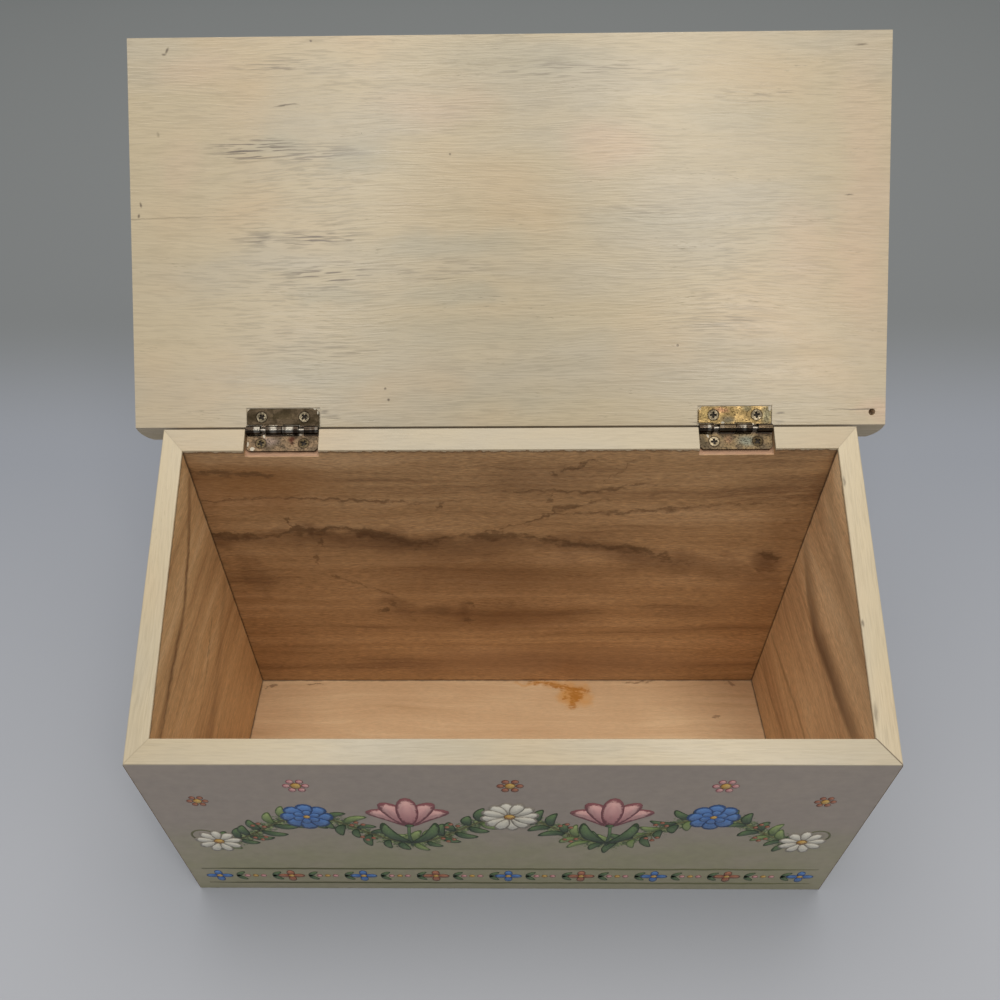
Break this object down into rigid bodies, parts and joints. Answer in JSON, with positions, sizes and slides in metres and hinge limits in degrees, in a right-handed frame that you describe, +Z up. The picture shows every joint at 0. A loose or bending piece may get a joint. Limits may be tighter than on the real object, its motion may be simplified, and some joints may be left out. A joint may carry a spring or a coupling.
{
  "type": "recipe box",
  "caption": "Wooden recipe box with a slanted rim, mitred walls and an overhanging lid that swings back on two small rolled butt hinges.",
  "frame": {"origin": "middle of the box's underside", "axes": "+Z up, -Y towards the front, +X to the right as seen from the front, along the hinge pins"},
  "size_m": [0.2134, 0.1643, 0.1947],
  "materials": {
    "box_wood": "washed paint outside, cream rim, bare brown wood inside",
    "bare_wood": "bare, planed and lightly stained",
    "lid_wood": "satin cream paint, rubbed so that the grain shows",
    "hinge_brass": "aged, dull and spotted",
    "screw_brass": "aged, worn bright on the high edges",
    "pin_steel": "dull drawn wire"
  },
  "bodies": {
    "box": {"front_panel": "box_wood", "right_panel": "box_wood", "back_panel": "box_wood", "left_panel": "box_wood", "bottom_panel": "bare_wood", "left_hinge_box_leaf": "hinge_brass", "left_hinge_pin": "pin_steel", "left_hinge_box_screw_left": "screw_brass", "left_hinge_box_screw_right": "screw_brass", "right_hinge_box_leaf": "hinge_brass", "right_hinge_pin": "pin_steel", "right_hinge_box_screw_left": "screw_brass", "right_hinge_box_screw_right": "screw_brass"},
    "lid": {"lid_board": "lid_wood", "left_hinge_lid_leaf": "hinge_brass", "left_hinge_lid_screw_left": "screw_brass", "left_hinge_lid_screw_right": "screw_brass", "right_hinge_lid_leaf": "hinge_brass", "right_hinge_lid_screw_left": "screw_brass", "right_hinge_lid_screw_right": "screw_brass"}
  },
  "joints": [
    {"name": "lid_hinge", "type": "hinge", "parent": "box", "child": "lid", "pos_m": [0, 0.04234, 0.11728], "axis": [1, 0, 0], "range_deg": [-30, 160]}
  ]
}
